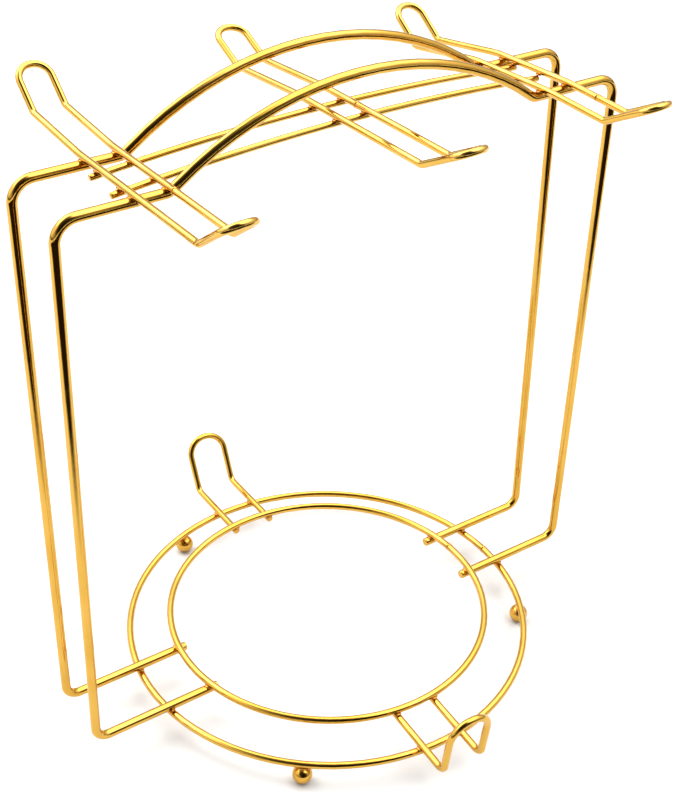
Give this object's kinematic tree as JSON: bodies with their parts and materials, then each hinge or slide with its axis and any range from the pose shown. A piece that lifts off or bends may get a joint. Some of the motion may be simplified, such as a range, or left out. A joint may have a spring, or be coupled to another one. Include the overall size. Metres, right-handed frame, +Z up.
{
  "type": "cup and saucer rack",
  "caption": "Gold-plated wire rack: saucer rings on ball feet, a pair of arched frames above them, and wire loops across the top that end in upturned cup hooks.",
  "frame": {"origin": "centre of the two saucer rings, on the table surface that the three ball feet stand on", "axes": "+Z up through the rings to the carrying arches, +X to the right along the frames, +Y to the back along the cup hooks"},
  "size_m": [0.2538, 0.2356, 0.283],
  "materials": {
    "frame_gold": "polished gold plating on steel wire",
    "ring_gold": "polished gold plating on steel wire",
    "hook_gold": "polished gold plating on steel wire",
    "rod_gold": "polished gold plating on steel wire",
    "foot_gold": "polished gold plating on steel balls"
  },
  "bodies": {
    "root": {"outer_ring": "ring_gold", "inner_ring": "ring_gold", "front_frame": "frame_gold", "back_frame": "frame_gold", "front_rod": "rod_gold", "back_rod": "rod_gold", "left_hook": "hook_gold", "middle_hook": "hook_gold", "right_hook": "hook_gold", "front_guard": "ring_gold", "back_guard": "ring_gold", "front_ball_foot": "foot_gold", "right_ball_foot": "foot_gold", "back_ball_foot": "foot_gold"}
  },
  "joints": []
}
